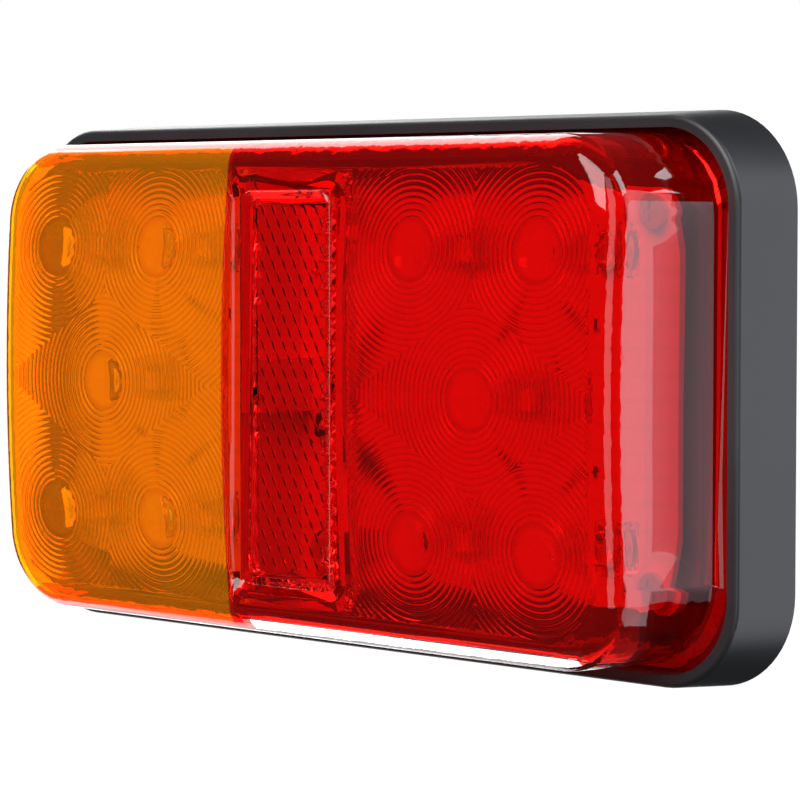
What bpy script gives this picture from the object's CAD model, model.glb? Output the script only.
"""A rectangular trailer tail light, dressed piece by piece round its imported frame. Metres."""

from math import cos, pi, radians, sin, sqrt, tan

import bmesh
import bpy
import numpy as np
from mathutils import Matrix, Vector
from mathutils.geometry import delaunay_2d_cdt


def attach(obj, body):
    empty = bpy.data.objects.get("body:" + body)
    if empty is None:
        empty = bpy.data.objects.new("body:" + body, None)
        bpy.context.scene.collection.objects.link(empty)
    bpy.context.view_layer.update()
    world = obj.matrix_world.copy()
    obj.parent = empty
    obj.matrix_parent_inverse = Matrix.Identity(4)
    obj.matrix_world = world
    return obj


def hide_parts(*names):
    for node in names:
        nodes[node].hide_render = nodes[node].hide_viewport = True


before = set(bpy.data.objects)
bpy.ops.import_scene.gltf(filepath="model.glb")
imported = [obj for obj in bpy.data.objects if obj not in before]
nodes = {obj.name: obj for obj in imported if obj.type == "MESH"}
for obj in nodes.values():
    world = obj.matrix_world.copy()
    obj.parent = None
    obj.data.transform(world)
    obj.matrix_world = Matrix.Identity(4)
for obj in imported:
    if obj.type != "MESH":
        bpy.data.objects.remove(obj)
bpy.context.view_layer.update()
MM = 0.001

# --- Camera ---------------------------------------------------------------------------------------
# A long lens at the red end of the lamp, a little above its middle and almost level with it.
view_azimuth = radians(45.465)
view_drop = radians(3.11)
camera_data = bpy.data.cameras.new("camera")
camera_data.lens = 150.3
camera_data.clip_start = 0.01
camera = bpy.data.objects.new("camera", camera_data)
camera.location = (0.3602, -0.3562, 0.0250)
camera.rotation_euler = (pi / 2 - view_drop, 0.0, view_azimuth)
bpy.context.scene.collection.objects.link(camera)
bpy.context.scene.camera = camera
bpy.context.scene.view_settings.view_transform = "Standard"
bpy.context.scene.cycles.glossy_bounces = 12


# --- Studio ---------------------------------------------------------------------------------------
# White paper floor, a pale surround, and soft boxes placed by compass angle round the lamp:
# 0 degrees is straight in front of it, and 90 is off its red end.
def soft_box(
    name, azimuth, elevation, distance, width, height, glow, colour=(1.0, 1.0, 1.0), lights_matt=True
):
    """A rectangular soft light aimed at the lamp's middle; glow is its brightness as seen.

    A box that doesn't light matt surfaces shows only in reflections and through the plastics.
    """
    light = bpy.data.lights.new(name, "AREA")
    light.shape = "RECTANGLE"
    light.size = width
    light.size_y = height
    light.energy = glow * pi * width * height
    light.color = colour
    holder = bpy.data.objects.new(name, light)
    holder.visible_camera = False
    holder.visible_diffuse = lights_matt
    around = radians(azimuth)
    up = radians(elevation)
    place = Vector((sin(around) * cos(up), -cos(around) * cos(up), sin(up))) * distance
    holder.location = place
    holder.rotation_euler = place.to_track_quat("Z", "Y").to_euler()
    bpy.context.scene.collection.objects.link(holder)


cool = (0.9, 0.94, 1.0)
soft_box("key_box", 8, 38, 1.0, 0.8, 0.8, 6.7)
soft_box("end_strip", 55, 12, 0.8, 0.34, 1.3, 1.9)
soft_box("end_box", 131, -5, 0.7, 0.66, 0.95, 1.9, cool)
soft_box("end_high_box", 112, 42, 0.9, 0.3, 0.42, 7.0, cool)
soft_box("back_box", 248, 34, 1.2, 0.8, 0.75, 4.0, lights_matt=False)
soft_box("back_wall", 222, 0, 1.3, 1.6, 0.9, 2.0, lights_matt=False)
soft_box("low_box", 246, -32, 0.9, 0.6, 0.5, 1.6, lights_matt=False)

# The surround is white to the camera, pale through the plastics and nearly dark in reflections.
passed_glow = 0.7
reflected_glow = 0.04
world = bpy.data.worlds.new("surround")
world.use_nodes = True
world_tree = world.node_tree
surround = world_tree.nodes["Background"]
pale = world_tree.nodes.new("ShaderNodeBackground")
pale.inputs["Color"].default_value = (1.0, 1.0, 1.0, 1.0)
pale.inputs["Strength"].default_value = 1.0
surround.inputs["Color"].default_value = (*cool, 1.0)
surround.inputs["Strength"].default_value = reflected_glow
seen = world_tree.nodes.new("ShaderNodeLightPath")
choice = world_tree.nodes.new("ShaderNodeMixShader")
bright = world_tree.nodes.new("ShaderNodeBackground")
bright.inputs["Strength"].default_value = passed_glow
through = world_tree.nodes.new("ShaderNodeMixShader")
for start, end in (
    (seen.outputs["Is Transmission Ray"], through.inputs[0]),
    (surround.outputs[0], through.inputs[1]),
    (bright.outputs[0], through.inputs[2]),
    (seen.outputs["Is Camera Ray"], choice.inputs[0]),
    (through.outputs[0], choice.inputs[1]),
    (pale.outputs[0], choice.inputs[2]),
    (choice.outputs[0], world_tree.nodes["World Output"].inputs["Surface"]),
):
    world_tree.links.new(start, end)
bpy.context.scene.world = world


class Wire:
    """A node's output; arithmetic on it adds Math nodes."""

    def __init__(self, recipe, socket):
        self.recipe = recipe
        self.socket = socket

    def maths(self, operation, first, second=0.0):
        return self.recipe.node("ShaderNodeMath", {"operation": operation}, {0: first, 1: second})

    def __add__(self, other):
        return self.maths("ADD", self, other)

    def __sub__(self, other):
        return self.maths("SUBTRACT", self, other)

    def __rsub__(self, other):
        return self.maths("SUBTRACT", other, self)

    def __mul__(self, other):
        return self.maths("MULTIPLY", self, other)

    __radd__ = __add__
    __rmul__ = __mul__


class Recipe:
    """A material and its nodes, written as expressions."""

    def __init__(self, name, constants):
        self.material = bpy.data.materials.new(name)
        self.material.use_nodes = True
        self.tree = self.material.node_tree
        self.shader = self.tree.nodes["Principled BSDF"]
        self.set(constants)

    def set(self, values):
        for key, value in values.items():
            self.plug(self.shader.inputs[key], value)

    def plug(self, target, value):
        if isinstance(value, Wire):
            self.tree.links.new(value.socket, target)
        else:
            target.default_value = value

    def node(self, kind, settings, inputs, output=0):
        made = self.tree.nodes.new(kind)
        for key, value in settings.items():
            if key == "stops":
                self.stops(made.color_ramp, value)
            else:
                setattr(made, key, value)
        for key, value in inputs.items():
            self.plug(made.inputs[key], value)
        return Wire(self, made.outputs[output])

    def stops(self, ramp, stops):
        while len(ramp.elements) < len(stops):
            ramp.elements.new(1.0)
        for element, (place, colour) in zip(ramp.elements, stops):
            element.position = place
            element.color = colour

    def place(self):
        return self.node("ShaderNodeTexCoord", {}, {}, "Object")

    def noise(self, scale, detail=3.0):
        settings = {"Vector": self.place(), "Scale": scale, "Detail": detail}
        return self.node("ShaderNodeTexNoise", {}, settings, "Fac")

    def bump(self, height, strength, distance):
        settings = {"Height": height, "Strength": strength, "Distance": distance}
        self.set({"Normal": self.node("ShaderNodeBump", {}, settings, "Normal")})

    def ramp(self, wire, stops):
        return self.node("ShaderNodeValToRGB", {"stops": stops}, {"Fac": wire}, "Color")

    def output(self, shader):
        self.tree.links.new(shader.socket, self.tree.nodes["Material Output"].inputs["Surface"])


def grey(level):
    return (level, level, level, 1.0)


def dress(piece, *materials):
    """Gives a piece these materials in place of its own. All its faces go to the first one."""
    piece.data.materials.clear()
    for material in materials:
        piece.data.materials.append(material)


floor_drop = 0.9
floor_size = 12.0
bpy.ops.mesh.primitive_plane_add(size=floor_size, location=(0.0, 0.0, -floor_drop))
floor = bpy.context.object
floor.name = "floor"
floor.visible_glossy = False
floor.visible_diffuse = False
paper = Recipe("white_paper", {"Roughness": 0.9, "Emission Color": grey(1.0), "Emission Strength": 1.0})
paper.set({"Base Color": paper.ramp(paper.noise(30.0), [(0.0, grey(0.93)), (1.0, grey(0.97))])})
dress(floor, paper.material)


# --- Housing --------------------------------------------------------------------------------------
# A black ABS tray, injection moulded with a fine satin texture. Its thin rim stands round the
# lens, and its flat back goes against the trailer.
black_abs = Recipe("black_abs", {"Specular IOR Level": 0.5})
abs_grain = black_abs.noise(2600.0, 2.0)
abs_cloud = black_abs.noise(38.0, 4.0)
abs_dark = (0.016, 0.016, 0.018, 1.0)
abs_light = (0.026, 0.026, 0.029, 1.0)
black_abs.set({
    "Base Color": black_abs.ramp(abs_cloud, [(0.3, abs_dark), (0.7, abs_light)]),
    "Roughness": 0.36 + 0.1 * abs_cloud,
})
black_abs.bump(abs_grain, 0.12, 0.00004)
dress(nodes["base_housing"], black_abs.material)


# --- Transparent plastics -------------------------------------------------------------------------
# Coloured acrylic and polycarbonate. Light from the lamps comes straight through the tint to
# what is behind, and what is seen through them is bent as by real plastic.
def clear_plastic(name, tint, ior, passing=1.0):
    """A tinted plastic; the share of light that isn't passing is scattered at its surface."""
    recipe = Recipe(name, {
        "Base Color": (*tint, 1.0),
        "Roughness": 0.0,
        "IOR": ior,
        "Transmission Weight": passing,
    })
    face_loss = 0.97
    per_face = [sqrt(share) * face_loss for share in tint]
    straight = recipe.node("ShaderNodeBsdfTransparent", {}, {"Color": (*per_face, 1.0)})
    shadow = recipe.node("ShaderNodeLightPath", {}, {}, "Is Shadow Ray")
    diffuse = recipe.node("ShaderNodeLightPath", {}, {}, "Is Diffuse Ray")
    either = shadow.maths("MAXIMUM", shadow, diffuse)
    bent = Wire(recipe, recipe.shader.outputs[0])
    recipe.output(recipe.node("ShaderNodeMixShader", {}, {0: either, 1: bent, 2: straight}))
    return recipe


acrylic_ior = 1.49


def satin_plastic(name, tint, haze):
    """A plastic with a share of cool, pale haze over it."""
    recipe = clear_plastic(name, tint, acrylic_ior)
    clear = Wire(recipe, recipe.tree.nodes["Material Output"].inputs["Surface"].links[0].from_socket)
    scuff = recipe.node("ShaderNodeBsdfDiffuse", {}, {"Color": (0.86, 0.9, 1.0, 1.0)})
    recipe.output(recipe.node("ShaderNodeMixShader", {}, {0: haze, 1: clear, 2: scuff}))
    return recipe


def ringed_plastic(name, tint, valley, passing):
    """A plastic whose moulded rings are clearest on their crests and deepen in their valleys."""
    recipe = clear_plastic(name, tint, acrylic_ior, passing)
    crest = recipe.node("ShaderNodeAttribute", {"attribute_name": "crest"}, {}, "Fac")
    recipe.set({"Base Color": recipe.ramp(crest, [(0.0, (*valley, 1.0)), (0.7, (*tint, 1.0))])})
    return recipe


red_tint = (0.86, 0.006, 0.004)
red_plastic = ringed_plastic("red_plastic", red_tint, (0.5, 0.002, 0.002), 0.93)
satin_red = satin_plastic("satin_red", red_tint, 0.1)
amber_plastic = ringed_plastic("amber_plastic", (0.98, 0.38, 0.002), (0.74, 0.14, 0.001), 0.84)
window_plastic = clear_plastic("window_plastic", (0.97, 0.97, 0.97), acrylic_ior)
weld = Recipe("welded_joint", {})
weld.output(weld.node("ShaderNodeBsdfTransparent", {}, {"Color": grey(1.0)}))


def merged_copy(node):
    """The CAD node's shape as a new closed mesh in millimetres, ready to be worked on."""
    shape = bmesh.new()
    shape.from_mesh(nodes[node].data)
    bmesh.ops.scale(shape, vec=(1 / MM,) * 3, verts=shape.verts)
    same_place = 0.0005
    bmesh.ops.remove_doubles(shape, verts=shape.verts, dist=same_place)
    bmesh.ops.dissolve_degenerate(shape, edges=shape.edges, dist=same_place)
    return shape


def finish_piece(shape, name, body, replaced, materials, smooth_below=30.0):
    """Makes the worked mesh (millimetres) a piece that rides on its body."""
    bmesh.ops.scale(shape, vec=(MM,) * 3, verts=shape.verts)
    mesh = bpy.data.meshes.new(name)
    shape.to_mesh(mesh)
    shape.free()
    mesh.shade_smooth()
    mesh.set_sharp_from_angle(angle=radians(smooth_below))
    for material in materials:
        mesh.materials.append(material)
    piece = bpy.data.objects.new(name, mesh)
    bpy.context.scene.collection.objects.link(piece)
    # Flat faces keep their own normals where they meet a rounded edge.
    weigh = piece.modifiers.new("weigh", "WEIGHTED_NORMAL")
    weigh.keep_sharp = True
    weighed = piece.evaluated_get(bpy.context.evaluated_depsgraph_get())
    piece.data = bpy.data.meshes.new_from_object(weighed)
    piece.modifiers.clear()
    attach(piece, body)
    if replaced:
        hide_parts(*replaced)


# --- Lens optics ----------------------------------------------------------------------------------
# Each light zone has five emitters in a quincunx. The inside of the lens is moulded with pillowed
# rings round each one, which run until they meet the rings of the next.
emitter_pitch_x = 12.1
emitter_pitch_z = 20.6
emitter_middle = 39.4
ring_pitch = 0.9
disc_radius = 4.5
disc_height = 0.7
thick_ring_end = 6.3
thick_ring_height = 0.22
thin_ring_height = 0.14
crown_centre = 312.0
inner_crown = 338.6
optic_half_width = 61.0
optic_half_height = 32.1
optic_corner = 7.6
amber_right = -11.3
pad_right = 14.8
ring_margin = 0.3


def emitter_spots(side):
    middle = side * emitter_middle
    corners = [(middle + i * emitter_pitch_x, j * emitter_pitch_z) for i in (-1, 1) for j in (-1, 1)]
    return np.array(corners + [(middle, 0.0)])


def ring_crest(radius):
    """0 in the valley between two rings, 1 on a ring's crest and on the disc."""
    turn = np.mod((radius - disc_radius) / ring_pitch + 1e-6, 1.0)
    return np.where(radius < disc_radius - 0.01, 1.0, 1 - (2 * turn - 1) ** 2)


def ring_height(radius):
    """How far the rings stand out of the lens's inner face at this distance from the emitter."""
    dome = disc_height * (1 - (radius / disc_radius) ** 2)
    pillow = np.where(radius < thick_ring_end, thick_ring_height, thin_ring_height) * ring_crest(radius)
    return np.where(radius < disc_radius - 0.01, dome, pillow)


def inner_face(z):
    """The lens's crowned inner face, as a Y."""
    return crown_centre - np.sqrt(inner_crown**2 - z**2)


def outside_rounded(x, z, half_x, half_z, corner):
    """Signed distance from a rounded rectangle; negative is inside."""
    dx = np.abs(x) - half_x + corner
    dz = np.abs(z) - half_z + corner
    return np.hypot(np.maximum(dx, 0), np.maximum(dz, 0)) + np.minimum(np.maximum(dx, dz), 0) - corner


def ring_arcs(spots, inside):
    """The rings as runs of points, each cut where it meets the next emitter's rings or the edge."""

    def mine(own, radius, angle):
        x = spots[own, 0] + radius * np.cos(angle)
        z = spots[own, 1] + radius * np.sin(angle)
        away = np.hypot(x[..., None] - spots[:, 0], z[..., None] - spots[:, 1])
        others = np.delete(away, own, axis=-1).min(axis=-1)
        return inside(x, z) & (others >= away[..., own])

    def crossing(own, radius, kept, lost):
        for _ in range(26):
            middle = (kept + lost) / 2
            if mine(own, radius, np.array([middle]))[0]:
                kept = middle
            else:
                lost = middle
        return kept

    radii = [1.5, 3.0]
    radii += [disc_radius + ring_pitch * step / 4 for step in range(0, 160)]
    runs = []
    for own in range(len(spots)):
        for radius in radii:
            count = max(20, int(2 * pi * radius / 0.7))
            angles = np.arange(count) * 2 * pi / count
            kept = mine(own, radius, angles)
            if not kept.any():
                continue
            if kept.all():
                runs.append((own, radius, angles, True))
                continue
            start = int(np.argmin(kept))
            angles = np.roll(angles, -start)
            angles = np.where(angles < angles[0], angles + 2 * pi, angles)
            kept = np.roll(kept, -start)
            index = 0
            while index < count:
                if not kept[index]:
                    index += 1
                    continue
                end = index
                while end + 1 < count and kept[end + 1]:
                    end += 1
                first = crossing(own, radius, angles[index], angles[index - 1])
                after = angles[end + 1] if end + 1 < count else angles[0] + 2 * pi
                last = crossing(own, radius, angles[end], after)
                runs.append((own, radius, np.array([first, *angles[index:end + 1], last]), False))
                index = end + 1
    return runs


def put_rings(shape, spots, region_test, in_face):
    """Cuts the smooth inner face out of the mesh and puts the ringed face in its place."""
    crest = shape.verts.layers.float.new("crest")
    for vert in shape.verts:
        vert[crest] = 1.0
    old = [face for face in shape.faces if in_face(face)]
    gone = set(old)
    rim = [edge for edge in shape.edges if sum(face in gone for face in edge.link_faces) == 1]
    rim_verts = list(dict.fromkeys(vert for edge in rim for vert in edge.verts))
    rim_index = {vert: index for index, vert in enumerate(rim_verts)}
    flat = [(vert.co.x, vert.co.z) for vert in rim_verts]
    lines = [(rim_index[edge.verts[0]], rim_index[edge.verts[1]]) for edge in rim]
    for own, radius, angles, closed in ring_arcs(spots, region_test):
        base = len(flat)
        x, z = spots[own]
        flat += [(x + radius * cos(angle), z + radius * sin(angle)) for angle in angles]
        lines += [(base + step, base + step + 1) for step in range(len(angles) - 1)]
        if closed:
            lines.append((base + len(angles) - 1, base))
    flat += [tuple(spot) for spot in spots]
    points = [Vector(point) for point in flat]
    places, _, faces, sources, _, _ = delaunay_2d_cdt(points, lines, [], 1, 1e-5)
    bmesh.ops.delete(shape, geom=old, context="FACES_ONLY")
    made = []
    for place, source in zip(places, sources):
        known = [index for index in source if index < len(rim_verts)]
        if known:
            made.append(rim_verts[known[0]])
            continue
        radius = np.hypot(spots[:, 0] - place.x, spots[:, 1] - place.y).min()
        vert = shape.verts.new((place.x, inner_face(place.y) + float(ring_height(radius)), place.y))
        vert[crest] = float(ring_crest(radius))
        made.append(vert)
    for face in faces:
        if len(set(face)) == 3:
            shape.faces.new([made[index] for index in reversed(face)])


def on_inner_face(face):
    return face.normal.y > 0.9 and all(abs(v.co.y - inner_face(v.co.z)) < 0.02 for v in face.verts)


# --- Red cap --------------------------------------------------------------------------------------
# The red acrylic cap: front, fillets, walls and the flange that is glued into the housing. It
# has rings over the stop lamps, and a walled recess for the reflector.
def in_optic(x, z):
    return outside_rounded(x, z, optic_half_width, optic_half_height, optic_corner) < 0


def weld_faces(shape, joined):
    """Gives the faces where two plastics are moulded together the second material."""
    for face in shape.faces:
        face.material_index = 1 if joined(face.calc_center_median(), face.normal) else 0


amber_root = -22.0
amber_side_end = -12.9
flange_face = -7.25
window_left = -9.0
window_right = 58.0
window_root = -9.5
window_top = -34.2
side_wall_start = 64.0


def lies_on(centre, normal, axis, place):
    """Whether a flat face square to this axis lies at this place along it."""
    return abs(normal[axis]) > 0.99 and abs(centre[axis] - place) < 0.01


def amber_joint(centre, normal):
    on_end = lies_on(centre, normal, 0, amber_right)
    on_side = abs(normal.y) < 0.01 and centre.x < amber_side_end and centre.y < flange_face
    on_root = lies_on(centre, normal, 1, amber_root) and centre.x < amber_right
    return on_end or on_side or on_root


def window_joint(centre, normal):
    if centre.z > window_top + 0.1:
        return False
    on_end = lies_on(centre, normal, 0, window_left) or lies_on(centre, normal, 0, window_right)
    on_root = lies_on(centre, normal, 1, window_root)
    on_top = lies_on(centre, normal, 2, window_top)
    return on_end or on_root or on_top


red_shape = merged_copy("red_lens")
put_rings(
    red_shape,
    emitter_spots(1),
    lambda x, z: in_optic(x, z) & (x > pad_right + ring_margin),
    lambda face: on_inner_face(face) and face.calc_center_median().x > pad_right,
)
red_shape.normal_update()
weld_faces(red_shape, lambda *place: amber_joint(*place) or window_joint(*place))
# The flat outer side of the red end has the third material, the hazy one.
for face in red_shape.faces:
    if face.normal.x > 0.98 and face.calc_center_median().x > side_wall_start:
        face.material_index = 2
finish_piece(
    red_shape,
    "red_cap",
    "lamp_body",
    ["red_lens"],
    [red_plastic.material, weld.material, satin_red.material],
)

# --- Amber front and end --------------------------------------------------------------------------
# The indicator's amber plastic, moulded into the red cap: the front and the whole left end.
amber_shape = merged_copy("amber_lens")
put_rings(
    amber_shape,
    emitter_spots(-1),
    lambda x, z: in_optic(x, z) & (x < amber_right - ring_margin),
    on_inner_face,
)
amber_shape.normal_update()
weld_faces(amber_shape, amber_joint)
finish_piece(
    amber_shape,
    "amber_front",
    "lamp_body",
    ["amber_lens"],
    [amber_plastic.material, weld.material],
)

# --- Number plate window --------------------------------------------------------------------------
# A colourless strip in the bottom wall that lets white light down onto the number plate.
window_shape = merged_copy("plate_lamp_window")
weld_faces(window_shape, window_joint)
finish_piece(
    window_shape,
    "plate_window",
    "lamp_body",
    ["plate_lamp_window"],
    [window_plastic.material, weld.material],
)

# --- Reflector ------------------------------------------------------------------------------------
# A flat red block glued into the cap's recess. Its back is moulded as rows of hexagonal pins that
# end in cube corners, three square faces each, which send light back where it came from.
cell_pitch = 2.3
cell_radius = cell_pitch / sqrt(3)
cell_rows = 27
cell_columns = 7
cell_step = cell_pitch / sqrt(6)
reflector_centre = 1.3
reflector_back = -22.6
reflector_ledge = -25.2
glue_gap = 0.03


def cube_corners():
    """Points (x, z), their depths and the edges of a sheet of cube corner cells."""
    points = {}
    edges = []
    for row in range(cell_rows):
        z = (row - (cell_rows - 1) / 2) * 1.5 * cell_radius
        columns = cell_columns - row % 2
        for column in range(columns):
            x = reflector_centre + (column - (columns - 1) / 2) * cell_pitch
            ring = []
            for corner in range(6):
                angle = pi / 2 + corner * pi / 3
                key = (round(x + cell_radius * cos(angle), 4), round(z + cell_radius * sin(angle), 4))
                points[key] = cell_step * (1 + corner % 2)
                ring.append(key)
            apex = (round(x, 4), round(z, 4))
            points[apex] = 0.0
            edges += [(ring[corner], ring[(corner + 1) % 6]) for corner in range(6)]
            edges += [(apex, ring[corner]) for corner in (0, 2, 4)]
    return points, edges


reflector_shape = merged_copy("reflex_reflector")
old_back = [
    face for face in reflector_shape.faces
    if face.normal.y > 0.9 and abs(face.verts[0].co.y - reflector_back) < 0.01
]
back_rim = [
    edge for edge in reflector_shape.edges
    if sum(face in old_back for face in edge.link_faces) == 1
]
back_verts = list(dict.fromkeys(vert for edge in back_rim for vert in edge.verts))
back_index = {vert: index for index, vert in enumerate(back_verts)}
cell_points, cell_edges = cube_corners()
cell_index = {key: len(back_verts) + index for index, key in enumerate(cell_points)}
flat_points = [Vector((vert.co.x, vert.co.z)) for vert in back_verts]
flat_points += [Vector(key) for key in cell_points]
flat_edges = [(back_index[edge.verts[0]], back_index[edge.verts[1]]) for edge in back_rim]
flat_edges += [(cell_index[first], cell_index[second]) for first, second in cell_edges]
places, _, cell_faces, sources, _, _ = delaunay_2d_cdt(flat_points, flat_edges, [], 1, 1e-4)
bmesh.ops.delete(reflector_shape, geom=old_back, context="FACES_ONLY")
cell_depths = list(cell_points.values())
sheet = []
for place, source in zip(places, sources):
    first = min(source)
    if first < len(back_verts):
        sheet.append(back_verts[first])
    else:
        depth = reflector_back - cell_depths[first - len(back_verts)]
        sheet.append(reflector_shape.verts.new((place.x, depth, place.y)))
for face in cell_faces:
    reflector_shape.faces.new([sheet[index] for index in reversed(face)])
for vert in reflector_shape.verts:
    if abs(vert.co.y - reflector_ledge) < 0.01:
        vert.co.y -= glue_gap
reflector_red = clear_plastic("reflector_red", (0.86, 0.012, 0.01), acrylic_ior)
finish_piece(
    reflector_shape,
    "reflector",
    "lamp_body",
    ["reflex_reflector"],
    [reflector_red.material],
    smooth_below=20.0,
)

# --- Circuit board --------------------------------------------------------------------------------
# A glass-epoxy board under a glossy white solder mask, with its copper tracks showing as low
# ridges. Four screws hold it on the housing's pillars.
board_white = Recipe("board_white", {"Roughness": 0.32})
board_place = board_white.node(
    "ShaderNodeMapping", {}, {"Vector": board_white.place(), "Rotation": (pi / 2, 0.0, 0.0)}
)
board_tracks = board_white.node(
    "ShaderNodeTexBrick",
    {"offset": 0.35},
    {"Vector": board_place, "Scale": 70.0, "Mortar Size": 0.035, "Mortar Smooth": 0.2},
    "Fac",
)
track_stops = [(0.0, (0.88, 0.88, 0.86, 1.0)), (1.0, (0.83, 0.84, 0.82, 1.0))]
board_white.set({"Base Color": board_white.ramp(board_tracks, track_stops)})
board_white.bump(board_tracks + 0.2 * board_white.noise(900.0), 0.3, 0.00005)
dress(nodes["circuit_board"], board_white.material)


def speckled(name, low, high, roughness, spread, cloud=60.0, grain=2500.0, strength=0.1, **constants):
    """A finish whose colour and gloss drift slowly and whose surface has a fine grain."""
    recipe = Recipe(name, constants)
    drift = recipe.noise(cloud, 4.0)
    recipe.set({
        "Base Color": recipe.ramp(drift, [(0.3, (*low, 1.0)), (0.7, (*high, 1.0))]),
        "Roughness": roughness + spread * drift,
    })
    recipe.bump(recipe.noise(grain, 2.0), strength, 0.00003)
    return recipe.material


# --- Light divider --------------------------------------------------------------------------------
# A thin moulded wall of white polystyrene on the board, between the indicator and the stop lamps.
divider_white = speckled("divider_white", (0.84, 0.84, 0.82), (0.88, 0.88, 0.87), 0.4, 0.12)
dress(nodes["light_divider"], divider_white)

# --- Emitters -------------------------------------------------------------------------------------
# Ten through-hole emitters: square water-clear epoxy bodies, each with a round dome over a small
# bright cup that holds the die.
led_epoxy = clear_plastic("led_epoxy", (0.96, 0.96, 0.95), 1.52)
dress(nodes["amber_leds"], led_epoxy.material)
dress(nodes["red_leds"], led_epoxy.material)
tinned_metal = speckled(
    "tinned_metal", (0.66, 0.66, 0.65), (0.78, 0.78, 0.77), 0.2, 0.25,
    cloud=700.0, strength=0.2, Metallic=1.0,
)
dress(nodes["led_leads"], tinned_metal)

stamping = bpy.data.node_groups.new("stamping", "GeometryNodeTree")
stamping_inputs = {
    "Spots": "NodeSocketGeometry",
    "Stamp": "NodeSocketObject",
    "Turn": "NodeSocketFloat",
    "Size": "NodeSocketFloat",
    "Finish": "NodeSocketMaterial",
}
stamping_keys = {}
for stamping_label, stamping_kind in stamping_inputs.items():
    socket = stamping.interface.new_socket(stamping_label, in_out="INPUT", socket_type=stamping_kind)
    stamping_keys[stamping_label] = socket.identifier
stamping.interface.new_socket("Pieces", in_out="OUTPUT", socket_type="NodeSocketGeometry")
inlet = stamping.nodes.new("NodeGroupInput")
outlet = stamping.nodes.new("NodeGroupOutput")
stamp_source = stamping.nodes.new("GeometryNodeObjectInfo")
stamp_source.inputs["As Instance"].default_value = True
stamp_turn = stamping.nodes.new("ShaderNodeCombineXYZ")
stamp_places = stamping.nodes.new("GeometryNodeInstanceOnPoints")
stamp_real = stamping.nodes.new("GeometryNodeRealizeInstances")
stamp_finish = stamping.nodes.new("GeometryNodeSetMaterial")
for start, end in (
    (inlet.outputs["Stamp"], stamp_source.inputs["Object"]),
    (inlet.outputs["Turn"], stamp_turn.inputs["Y"]),
    (inlet.outputs["Spots"], stamp_places.inputs["Points"]),
    (stamp_source.outputs["Geometry"], stamp_places.inputs["Instance"]),
    (stamp_turn.outputs["Vector"], stamp_places.inputs["Rotation"]),
    (inlet.outputs["Size"], stamp_places.inputs["Scale"]),
    (stamp_places.outputs["Instances"], stamp_real.inputs["Geometry"]),
    (stamp_real.outputs["Geometry"], stamp_finish.inputs["Geometry"]),
    (inlet.outputs["Finish"], stamp_finish.inputs["Material"]),
    (stamp_finish.outputs["Geometry"], outlet.inputs["Pieces"]),
):
    stamping.links.new(start, end)


def stamp_piece(name, shape, spots, replaced, material):
    """Repeats a small shape (millimetres) at spots (x, z) as one piece of the lamp's body."""
    bmesh.ops.recalc_face_normals(shape, faces=shape.faces)
    bmesh.ops.scale(shape, vec=(MM,) * 3, verts=shape.verts)
    stamp_mesh = bpy.data.meshes.new(name + "_stamp")
    shape.to_mesh(stamp_mesh)
    shape.free()
    stamp = bpy.data.objects.new(name + "_stamp", stamp_mesh)
    spot_mesh = bpy.data.meshes.new(name + "_spots")
    spot_mesh.from_pydata([(x * MM, 0.0, z * MM) for x, z in spots], [], [])
    holder = bpy.data.objects.new(name + "_spots", spot_mesh)
    for made in (stamp, holder):
        bpy.context.scene.collection.objects.link(made)
    modifier = holder.modifiers.new("stamping", "NODES")
    modifier.node_group = stamping
    modifier[stamping_keys["Stamp"]] = stamp
    modifier[stamping_keys["Turn"]] = 0.0
    modifier[stamping_keys["Size"]] = 1.0
    modifier[stamping_keys["Finish"]] = material
    stamped = holder.evaluated_get(bpy.context.evaluated_depsgraph_get())
    mesh = bpy.data.meshes.new_from_object(stamped)
    bpy.data.objects.remove(holder)
    bpy.data.objects.remove(stamp)
    mesh.name = name
    mesh.shade_smooth()
    mesh.set_sharp_from_angle(angle=radians(30.0))
    piece = bpy.data.objects.new(name, mesh)
    bpy.context.scene.collection.objects.link(piece)
    dress(piece, material)
    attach(piece, "lamp_body")
    if replaced:
        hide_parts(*replaced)


def turned(shape, rows, steps=24, centre=(0.0, 0.0), closed=False):
    """Turns rows of (radius, y) about an axis along Y; either may be a rule of the angle."""
    rings = []
    for radius, y in rows:
        ring = []
        for step in range(1 if radius == 0 else steps):
            angle = 2 * pi * step / steps
            reach = radius(angle) if callable(radius) else radius
            depth = y(angle) if callable(y) else y
            place = (centre[0] + reach * cos(angle), depth, centre[1] + reach * sin(angle))
            ring.append(shape.verts.new(place))
        rings.append(ring)
    for first, second in list(zip(rings, rings[1:])) + ([(rings[-1], rings[0])] if closed else []):
        for step in range(steps):
            after = step + 1
            loop = [first[step % len(first)], first[after % len(first)]]
            loop += [second[after % len(second)], second[step % len(second)]]
            shape.faces.new(list(dict.fromkeys(loop)))


def soft_block(shape, low, high, edge):
    """A block between two corners with its edges rounded off."""
    made = bmesh.ops.create_cube(shape, size=1.0)["verts"]
    span = [b - a for a, b in zip(low, high)]
    middle = [(a + b) / 2 for a, b in zip(low, high)]
    bmesh.ops.scale(shape, vec=span, verts=made)
    bmesh.ops.translate(shape, vec=middle, verts=made)
    edges = list(dict.fromkeys(rim for vert in made for rim in vert.link_edges))
    bmesh.ops.bevel(shape, geom=edges, offset=edge, segments=2, affect="EDGES", profile=0.5)


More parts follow.
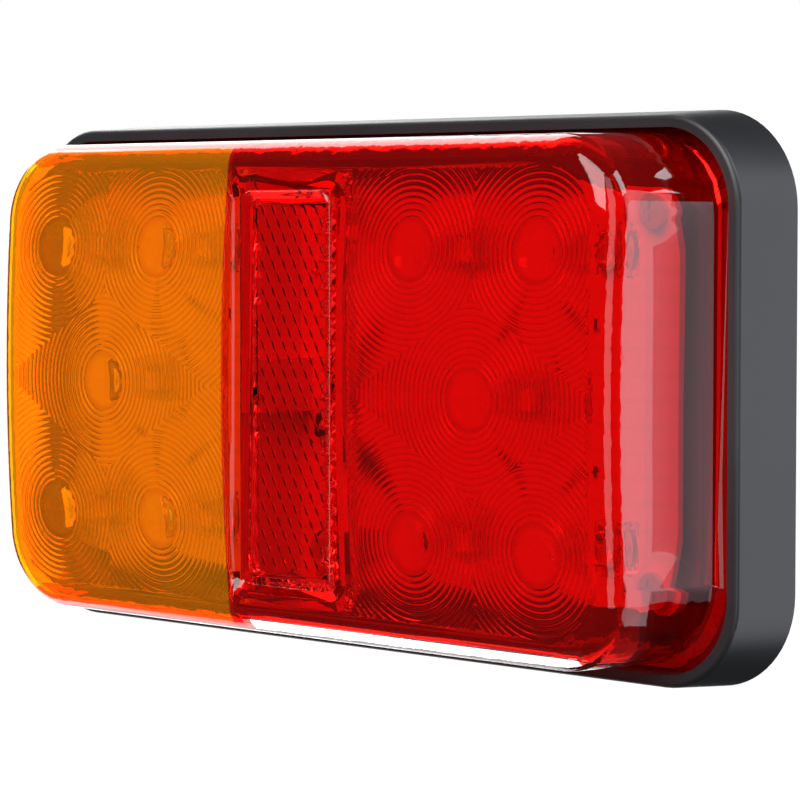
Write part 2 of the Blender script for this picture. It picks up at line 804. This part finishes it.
both_sides = [tuple(spot) for side in (-1, 1) for spot in emitter_spots(side)]
cup = bmesh.new()
turned(cup, [
    (0, -11.9), (0.5, -11.9), (0.95, -12.6), (1.15, -12.65), (1.25, -12.5),
    (1.25, -11.4), (2.7, -11.3), (2.75, -11.2), (2.7, -11.1), (0, -11.1),
])
stamp_piece("emitter_cups", cup, both_sides, [], tinned_metal)
die_yellow = speckled("die_yellow", (0.62, 0.5, 0.2), (0.75, 0.62, 0.3), 0.35, 0.1)
die = bmesh.new()
soft_block(die, (-0.22, -12.2, -0.22), (0.22, -11.92, 0.22), 0.03)
stamp_piece("emitter_dies", die, both_sides, [], die_yellow)
solder = bmesh.new()
turned(solder, [(0, -8.38), (0.95, -8.38), (0.62, -8.15), (0.42, -7.8), (0.34, -7.5), (0, -7.42)], 14)
lead_offsets = [(i * 2.54, j * 2.54) for i in (-1, 1) for j in (-1, 1)]
lead_spots = [(x + dx, z + dz) for x, z in both_sides for dx, dz in lead_offsets]
stamp_piece("solder_joints", solder, lead_spots, [], tinned_metal)

# --- Number plate emitters ------------------------------------------------------------------------
# Three white surface-mount emitters near the board's lower edge: a white package with a yellow
# phosphor window.
plate_spots = [(8.0, -27.6), (25.0, -27.6), (42.0, -27.6)]
package_white = speckled("package_white", (0.82, 0.82, 0.8), (0.88, 0.88, 0.86), 0.35, 0.1)
package = bmesh.new()
soft_block(package, (-1.6, -12.6, -1.1), (1.6, -10.0, 1.1), 0.12)
turned(package, [
    (0.88, -12.55), (0.98, -12.8), (1.06, -12.8), (1.06, -12.5), (0.88, -12.5),
], 20, closed=True)
stamp_piece("plate_emitters", package, plate_spots, ["plate_leds"], package_white)
phosphor = speckled("phosphor", (0.85, 0.68, 0.12), (0.9, 0.75, 0.2), 0.4, 0.1)
window = bmesh.new()
turned(window, [(0, -12.5), (0.86, -12.5), (0.86, -12.64), (0.5, -12.72), (0, -12.75)], 20)
stamp_piece("plate_phosphors", window, plate_spots, [], phosphor)

# --- Resistors, chips, diodes and capacitor -------------------------------------------------------
# Parts soldered to the board's front: chip resistors with tinned end caps, two eight-legged
# driver chips, three protection diodes and one round capacitor.
component_black = speckled(
    "component_black", (0.014, 0.014, 0.015), (0.024, 0.024, 0.025), 0.38, 0.15, cloud=300.0
)
resistor_pitch_x = 6.2
resistor_pitch_z = 10.4
resistor_spots = [
    (side * emitter_middle + i * resistor_pitch_x, j * resistor_pitch_z)
    for side in (-1, 1) for i in (-1, 1) for j in (-1, 1)
]
resistor = bmesh.new()
soft_block(resistor, (-1.2, -10.52, -0.76), (1.2, -10.02, 0.76), 0.05)
stamp_piece(
    "resistor_bodies", resistor, resistor_spots, ["led_resistors"], component_black
)
resistor_caps = bmesh.new()
for side in (-1, 1):
    ends = sorted((side * 1.1, side * 1.6))
    soft_block(resistor_caps, (ends[0], -10.6, -0.8), (ends[1], -10.0, 0.8), 0.08)
stamp_piece("resistor_caps", resistor_caps, resistor_spots, [], tinned_metal)

chip_spots = [(1.3, 25.5), (1.3, 4.0)]
chip = bmesh.new()
soft_block(chip, (-1.9, -11.6, -2.95), (1.9, -10.15, 2.95), 0.14)
chip_dot = (-1.2, 2.2)
turned(chip, [
    (0, -11.58), (0.24, -11.58), (0.3, -11.62), (0.34, -11.6), (0.34, -11.4), (0, -11.4),
], 16, chip_dot)
stamp_piece(
    "driver_chip_bodies", chip, chip_spots, ["driver_chips"], component_black
)
leg_line = [
    (1.85, -10.85), (2.15, -10.85), (2.27, -10.15), (2.5, -10.15),
    (2.5, -10.0), (2.14, -10.0), (2.03, -10.7), (1.85, -10.7),
]
leg_pitch = 1.27
legs = bmesh.new()
for side in (-1, 1):
    for leg in range(4):
        z = (leg - 1.5) * leg_pitch
        ends = [[legs.verts.new((side * x, y, z + half)) for x, y in leg_line] for half in (-0.2, 0.2)]
        legs.faces.new(ends[0])
        legs.faces.new(ends[1])
        for step in range(len(leg_line)):
            after = (step + 1) % len(leg_line)
            legs.faces.new([ends[0][step], ends[0][after], ends[1][after], ends[1][step]])
stamp_piece("driver_chip_legs", legs, chip_spots, [], tinned_metal)

diode_spots = [(-4.5, -6.0), (0.5, -9.0), (5.5, -12.0)]
diode = bmesh.new()
soft_block(diode, (-1.25, -12.3, -1.8), (1.25, -10.1, 1.8), 0.2)
stamp_piece(
    "diode_bodies", diode, diode_spots, ["protection_diodes"], component_black
)
diode_tabs = bmesh.new()
for side in (-1, 1):
    rise = sorted((side * 1.72, side * 2.1))
    foot = sorted((side * 1.3, side * 2.3))
    soft_block(diode_tabs, (-0.75, -11.3, rise[0]), (0.75, -10.05, rise[1]), 0.06)
    soft_block(diode_tabs, (-0.95, -10.2, foot[0]), (0.95, -10.0, foot[1]), 0.05)
stamp_piece("diode_tabs", diode_tabs, diode_spots, [], tinned_metal)

capacitor_can = speckled(
    "capacitor_can", (0.6, 0.6, 0.61), (0.7, 0.7, 0.71), 0.24, 0.12,
    cloud=500.0, strength=0.15, Metallic=1.0,
)
capacitor_sleeve = speckled("capacitor_sleeve", (0.02, 0.024, 0.05), (0.03, 0.035, 0.07), 0.22, 0.1)
capacitor_centre = (2.0, -24.0)
capacitor_top = -17.57
capacitor = bmesh.new()
turned(capacitor, [
    (0, -10.0), (2.9, -10.0), (3.1, -10.15), (3.15, -10.4), (3.15, -10.9), (2.9, -11.05),
    (2.85, -11.2), (2.9, -11.35), (3.15, -11.5), (3.15, -17.2), (3.05, -17.5), (2.8, -17.68),
    (2.55, -17.7), (2.5, -17.6), (2.2, -17.58), (0, -17.58),
], 40, capacitor_centre)
bmesh.ops.recalc_face_normals(capacitor, faces=capacitor.faces)
for face in capacitor.faces:
    face.material_index = 1 if all(vert.co.y < capacitor_top for vert in face.verts) else 0
finish_piece(
    capacitor,
    "capacitor",
    "lamp_body",
    ["smoothing_capacitor"],
    [capacitor_sleeve, capacitor_can],
)

# --- Solder lugs ----------------------------------------------------------------------------------
# Five tinned brass pins through the board, where the cable's cores are soldered on.
lug_spots = [((i - 2) * 4.0, 17.0) for i in range(5)]
lug = bmesh.new()
turned(lug, [
    (0, -10.6), (0.4, -10.6), (0.58, -10.45), (0.6, -10.1), (0.6, -8.2), (0.42, -8.0), (0.42, -7.0),
    (0.58, -6.8), (0.6, -6.5), (0.5, -6.25), (0, -6.2),
], 18)
stamp_piece("solder_lugs", lug, lug_spots, ["wire_lugs"], tinned_metal)

# --- Board screws ---------------------------------------------------------------------------------
# Zinc-plated pan-head screws with cross recesses, driven into the housing's pillars.
zinc_steel = speckled(
    "zinc_steel", (0.5, 0.52, 0.55), (0.66, 0.67, 0.66), 0.2, 0.22,
    cloud=260.0, grain=1800.0, strength=0.25, Metallic=1.0,
)
dress(nodes["board_screws"], zinc_steel)

# --- Seals ----------------------------------------------------------------------------------------
# A bead of grey sealant under the lens flange, and a black rubber ring under each stud head.
sealant_grey = speckled(
    "sealant_grey", (0.3, 0.31, 0.32), (0.38, 0.39, 0.4), 0.55, 0.15, grain=1200.0, strength=0.2
)
dress(nodes["lens_seal"], sealant_grey)
seal_rubber = speckled(
    "seal_rubber", (0.012, 0.012, 0.012), (0.022, 0.022, 0.022), 0.6, 0.2, grain=1600.0, strength=0.25
)
dress(nodes["stud_seals"], seal_rubber)

# --- Cable grommet --------------------------------------------------------------------------------
# A soft black rubber grommet snapped into the back of the housing. Its tail is ribbed so that it
# bends with the cable.
grommet_centre = (0.0, 16.0)
rib_pitch = 1.5
tail_taper = 0.075
grommet = bmesh.new()
tail_rows = []
for rib in range(5):
    rib_start = 0.7 + rib * rib_pitch
    rib_reach = 4.8 - tail_taper * rib_start
    tail_rows += [
        (rib_reach - 0.6, rib_start - 0.3), (rib_reach - 0.6, rib_start),
        (rib_reach - 0.1, rib_start + 0.12), (rib_reach, rib_start + 0.35),
        (rib_reach, rib_start + 0.7), (rib_reach - 0.1, rib_start + 0.88),
        (rib_reach - 0.6, rib_start + 0.98),
    ]
turned(grommet, [
    (3.2, -3.45), (3.35, -3.6), (6.3, -3.6), (6.52, -3.48), (6.6, -3.25), (6.6, -2.2),
    (6.4, -2.02), (5.0, -2.0), (4.98, 0.0), (4.7, 0.1), *tail_rows,
    (3.9, 7.9), (3.5, 8.0), (3.25, 7.9), (3.2, 7.7),
], 48, grommet_centre, closed=True)
bmesh.ops.recalc_face_normals(grommet, faces=grommet.faces)
finish_piece(grommet, "grommet", "lamp_body", ["cable_grommet"], [seal_rubber])

# --- Mounting studs -------------------------------------------------------------------------------
# Two zinc-plated M5 hexagon bolts caught in the housing's bosses, with rolled threads that stand
# out of the back.
stud_spots = {"left": (-25.0, 0.0), "right": (25.0, 0.0)}
thread_pitch = 0.8
thread_crest = 2.5
thread_depth = 0.42
thread_steps = 6
thread_start = 0.35
thread_length = 19.2
flat_to_flat = 8.0


def hexagon(angle):
    """How far a hexagon's edge lies from its centre in this direction."""
    return flat_to_flat / 2 / cos(angle % (pi / 3) - pi / 6)


def chamfered(face, inner, out):
    """The depth of a hexagon's edge after a 30 degree chamfer; out is the way to its middle."""
    return lambda angle: face + out * max(0.0, hexagon(angle) - inner) * tan(pi / 6)


def thread(y, root, height):
    """The radius of a right-hand thread at this depth, as a rule of the angle."""
    def reach(angle):
        turn = (y / thread_pitch + angle / (2 * pi)) % 1.0
        return root + height * min(1.0, max(0.0, 1.5 * abs(2 * turn - 1) - 0.25))
    return reach


bolts = bmesh.new()
for spot in stud_spots.values():
    rows = [
        (0, -6.3), (2.3, -6.3), (2.6, -6.5), (3.8, -6.5), (hexagon, chamfered(-6.5, 3.8, 1)),
        (hexagon, -3.05), (3.9, -3.0), (2.3, -3.0), (2.3, 0.2),
    ]
    thread_rows = int(thread_length / thread_pitch * thread_steps)
    for row in range(thread_rows):
        y = thread_start + row * thread_pitch / thread_steps
        height = thread_depth * min(1.0, (thread_rows - row) / 6)
        rows.append((thread(y, thread_crest - thread_depth, height), y))
    rows += [(2.05, 19.62), (1.75, 19.98), (0, 19.98)]
    turned(bolts, rows, 48, spot)
bmesh.ops.recalc_face_normals(bolts, faces=bolts.faces)
finish_piece(bolts, "threaded_studs", "lamp_body", ["mounting_studs"], [zinc_steel])

# --- Washers and nuts -----------------------------------------------------------------------------
# On each stud: a stamped flat washer with rolled edges, a split spring washer, and a chamfered M5
# nut that turns up and down the thread.
spring_gap = 0.115
spring_middle = radians(110.0)
spring_place = 5.9
spring_slant = 0.1
spring_rise = 0.1
spring_steps = 60
nut_low = 6.5
nut_high = 10.5
nut_thread_start = 0.35
nut_thread_root = 2.61
nut_thread_depth = 0.2
for side, spot in stud_spots.items():
    flat_washer = bmesh.new()
    turned(flat_washer, [
        (2.72, 4.3), (4.84, 4.3), (4.95, 4.35), (5.0, 4.48), (5.0, 5.12), (4.95, 5.25),
        (4.84, 5.3), (2.72, 5.3), (2.66, 5.22), (2.66, 4.38),
    ], 64, spot, closed=True)
    bmesh.ops.recalc_face_normals(flat_washer, faces=flat_washer.faces)
    finish_piece(
        flat_washer,
        f"flat_washer_{side}",
        f"{side}_washers",
        [f"{side}_flat_washer"],
        [zinc_steel],
    )

    spring_washer = bmesh.new()
    section = [
        (2.72, -0.5), (4.3, -0.5), (4.4, -0.4), (4.4, 0.4),
        (4.3, 0.5), (2.72, 0.5), (2.66, 0.42), (2.66, -0.42),
    ]
    loops = []
    for step in range(spring_steps + 1):
        along = step / spring_steps
        angle = spring_middle + spring_gap + along * (2 * pi - 2 * spring_gap)
        loop = []
        for reach, lift in section:
            slant = spring_slant * lift
            y = spring_place + lift + spring_rise * (2 * along - 1)
            place = (spot[0] + reach * cos(angle + slant), y, spot[1] + reach * sin(angle + slant))
            loop.append(spring_washer.verts.new(place))
        loops.append(loop)
    for first, second in zip(loops, loops[1:]):
        for corner in range(len(section)):
            after = (corner + 1) % len(section)
            spring_washer.faces.new([first[corner], first[after], second[after], second[corner]])
    spring_washer.faces.new(loops[0])
    spring_washer.faces.new(loops[-1])
    bmesh.ops.recalc_face_normals(spring_washer, faces=spring_washer.faces)
    finish_piece(
        spring_washer,
        f"spring_washer_{side}",
        f"{side}_washers",
        [f"{side}_spring_washer"],
        [zinc_steel],
    )

    nut = bmesh.new()
    rows = [
        (2.95, nut_low), (3.85, nut_low), (hexagon, chamfered(nut_low, 3.85, 1)),
        (hexagon, chamfered(nut_high, 3.85, -1)), (3.85, nut_high), (2.95, nut_high),
    ]
    bore_length = nut_high - nut_low - 0.7
    for row in range(int(bore_length / thread_pitch * thread_steps) + 1):
        y = nut_high - nut_thread_start - row * thread_pitch / thread_steps
        rows.append((thread(y, nut_thread_root, nut_thread_depth), y))
    turned(nut, rows, 72, spot, closed=True)
    bmesh.ops.recalc_face_normals(nut, faces=nut.faces)
    finish_piece(nut, f"hex_nut_{side}", f"{side}_nut", [f"{side}_nut"], [zinc_steel])
